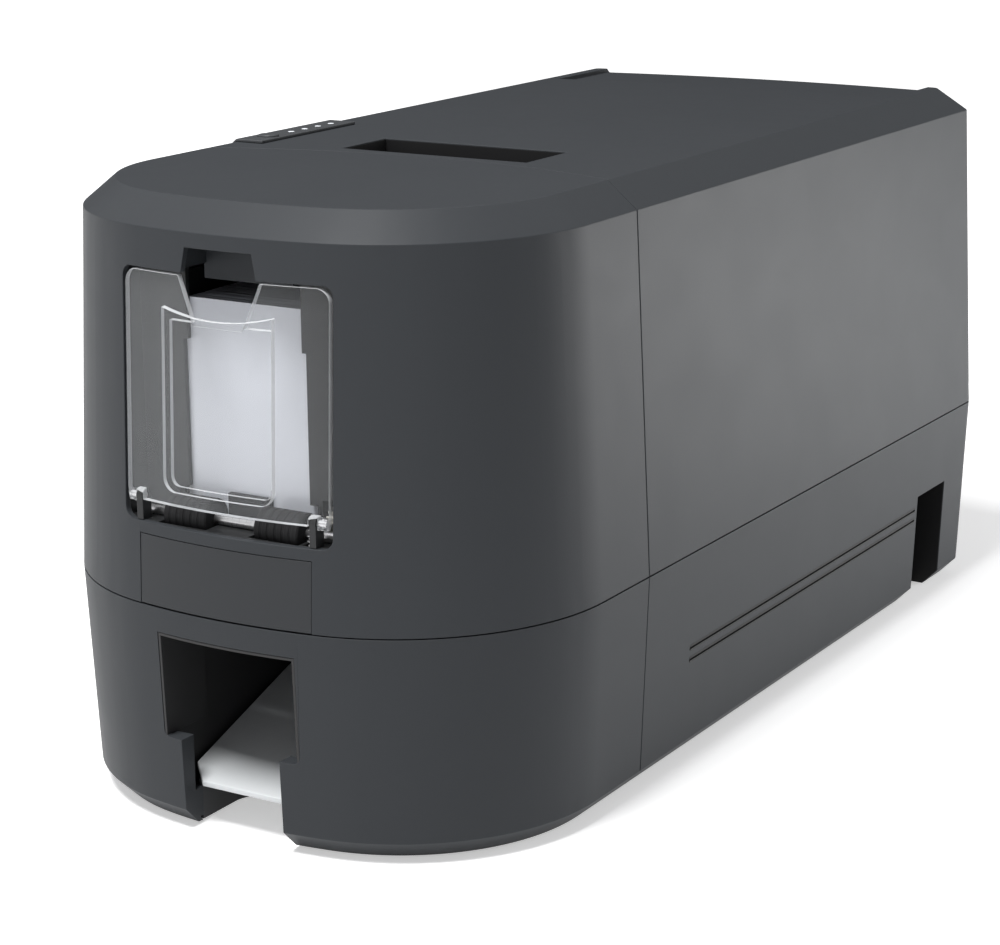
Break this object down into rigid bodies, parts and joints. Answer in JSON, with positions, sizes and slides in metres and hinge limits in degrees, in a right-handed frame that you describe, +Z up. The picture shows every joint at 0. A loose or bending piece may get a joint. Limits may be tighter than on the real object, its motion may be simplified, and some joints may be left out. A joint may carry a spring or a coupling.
{
  "type": "plastic card printer",
  "caption": "Desktop plastic card printer with rounded front, clear hinged hopper door, hinged top cover, output ramp, card feed, drive train and ribbon rolls.",
  "frame": {"origin": "on the table under the middle of the case, where its rubber feet rest", "axes": "+X to the right seen from the front, +Y from the front to the rear, +Z up"},
  "size_m": [0.205, 0.4411, 0.224],
  "materials": {
    "housing_grey": "fine satin texture, warm dark grey",
    "badge_grey": "smooth satin, blank",
    "strip_grey": "smooth satin",
    "black_plastic": "black, lightly textured",
    "ramp_grey": "light grey, smooth",
    "smoked_clear": "clear smoked moulded plastic",
    "lens_white": "white translucent light lens",
    "steel": "zinc-plated sheet steel",
    "pan_grey": "dark grey powder-coated steel",
    "shaft_steel": "ground steel",
    "gear_plastic": "natural acetal",
    "rubber_black": "soft black rubber",
    "rubber_blue": "grey-blue roller rubber",
    "card_white": "white card stock",
    "film_dark": "dark coated film",
    "motor_metal": "black motor case",
    "sink_aluminium": "extruded aluminium",
    "spring_steel": "spring wire",
    "board_green": "printed circuit board with black chips",
    "bronze_bush": "sintered bronze",
    "head_ceramic": "ceramic print bar"
  },
  "bodies": {
    "case": {"base_front_shell": "housing_grey", "base_rear_shell": "housing_grey", "front_housing": "housing_grey", "rear_panel": "housing_grey", "blank_badge": "badge_grey", "bottom_plate": "pan_grey", "rubber_feet": "rubber_black", "output_ramp": "ramp_grey", "output_channel": "black_plastic", "hopper_liner": "black_plastic", "card_magazine": "black_plastic", "pusher_rods": "shaft_steel", "card_stack": "card_white", "feed_motor": "motor_metal", "chassis_left": "steel", "chassis_right": "steel", "shaft_bushes": "bronze_bush", "chassis_cross_parts": "steel", "outer_card_guide": "black_plastic", "inner_card_guide": "black_plastic", "drive_belt": "rubber_black", "drive_motor": "motor_metal", "ribbon_film": "film_dark", "power_inlet": "black_plastic", "power_switch": "black_plastic", "data_ports": "steel", "control_board": "board_green", "power_supply": "steel"},
    "cover": {"top_cover": "housing_grey", "status_panel": "strip_grey", "status_lenses": "lens_white", "status_board": "board_green", "cover_hinge_pins": "shaft_steel", "print_head": "head_ceramic", "head_heat_sink": "sink_aluminium", "head_carrier": "black_plastic", "head_springs": "spring_steel"},
    "button": {"panel_button": "strip_grey"},
    "door": {"hopper_door": "smoked_clear", "door_pins": "shaft_steel"},
    "pusher": {"card_pusher": "black_plastic"},
    "pick": {"pick_shaft": "shaft_steel", "pick_tyres": "rubber_black"},
    "feed_wheel": {"feed_gear": "gear_plastic"},
    "gate": {"card_gate": "black_plastic"},
    "front_roller": {"transport_front_shaft": "shaft_steel", "transport_front_rubber": "rubber_blue", "transport_gear": "gear_plastic"},
    "platen": {"platen_shaft": "shaft_steel", "platen_rubber": "rubber_black"},
    "rear_roller": {"transport_rear_shaft": "shaft_steel", "transport_rear_rubber": "rubber_blue"},
    "motor_rotor": {"motor_pinion": "shaft_steel"},
    "pinch_front": {"pinch_front_roller": "shaft_steel"},
    "pinch_rear": {"pinch_rear_roller": "shaft_steel"},
    "takeup": {"ribbon_takeup_core": "gear_plastic", "ribbon_takeup_roll": "film_dark"},
    "supply": {"ribbon_supply_core": "gear_plastic", "ribbon_supply_roll": "film_dark"},
    "rocker": {"power_rocker": "black_plastic"}
  },
  "joints": [
    {"name": "cover_hinge", "type": "hinge", "parent": "case", "child": "cover", "pos_m": [0, 0.204, 0.0836], "axis": [-1, 0, 0], "range_deg": [0, 65]},
    {"name": "button_press", "type": "slide", "parent": "cover", "child": "button", "axis": [0, 0, -1], "range_m": [0, 0.0008], "stiffness_N_per_m": 400},
    {"name": "door_hinge", "type": "hinge", "parent": "case", "child": "door", "pos_m": [0, -0.2136, 0.1196], "axis": [1, 0, 0], "range_deg": [0, 75]},
    {"name": "pusher_slide", "type": "slide", "parent": "case", "child": "pusher", "axis": [0, 1, 0], "range_m": [0, 0.036]},
    {"name": "pick_spin", "type": "hinge", "parent": "case", "child": "pick", "pos_m": [0, -0.2065, 0.113], "axis": [1, 0, 0], "continuous": true},
    {"name": "feed_spin", "type": "hinge", "parent": "case", "child": "feed_wheel", "pos_m": [0, -0.1924, 0.113], "axis": [1, 0, 0], "continuous": true},
    {"name": "gate_tilt", "type": "hinge", "parent": "case", "child": "gate", "pos_m": [0, -0.143, 0.0489], "axis": [1, 0, 0], "range_deg": [0, 22]},
    {"name": "transport_spin", "type": "hinge", "parent": "case", "child": "front_roller", "pos_m": [0, -0.07, 0.044], "axis": [1, 0, 0], "continuous": true},
    {"name": "platen_spin", "type": "hinge", "parent": "case", "child": "platen", "pos_m": [0, 0, 0.044], "axis": [1, 0, 0], "continuous": true},
    {"name": "rear_roller_spin", "type": "hinge", "parent": "case", "child": "rear_roller", "pos_m": [0, 0.07, 0.044], "axis": [1, 0, 0], "continuous": true},
    {"name": "motor_spin", "type": "hinge", "parent": "case", "child": "motor_rotor", "pos_m": [0, -0.03867, 0.0225], "axis": [1, 0, 0], "continuous": true},
    {"name": "pinch_front_spin", "type": "hinge", "parent": "case", "child": "pinch_front", "pos_m": [0, -0.07, 0.05776], "axis": [1, 0, 0], "continuous": true},
    {"name": "pinch_rear_spin", "type": "hinge", "parent": "case", "child": "pinch_rear", "pos_m": [0, 0.07, 0.05776], "axis": [1, 0, 0], "continuous": true},
    {"name": "takeup_spin", "type": "hinge", "parent": "case", "child": "takeup", "pos_m": [0, -0.062, 0.105], "axis": [1, 0, 0], "continuous": true},
    {"name": "supply_spin", "type": "hinge", "parent": "case", "child": "supply", "pos_m": [0, 0.066, 0.108], "axis": [1, 0, 0], "continuous": true},
    {"name": "rocker_tilt", "type": "hinge", "parent": "case", "child": "rocker", "pos_m": [-0.026, 0.21241, 0.034], "axis": [1, 0, 0], "range_deg": [0, 12]}
  ],
  "couplings": [
    {"joint": "platen_spin", "follows": "transport_spin", "ratio": 1},
    {"joint": "rear_roller_spin", "follows": "transport_spin", "ratio": 1},
    {"joint": "motor_spin", "follows": "transport_spin", "ratio": -2.8},
    {"joint": "pinch_front_spin", "follows": "transport_spin", "ratio": -1.6},
    {"joint": "pinch_rear_spin", "follows": "transport_spin", "ratio": -1.6},
    {"joint": "takeup_spin", "follows": "transport_spin", "ratio": -0.57143},
    {"joint": "supply_spin", "follows": "transport_spin", "ratio": -0.33333},
    {"joint": "feed_spin", "follows": "pick_spin", "ratio": -0.56667}
  ]
}
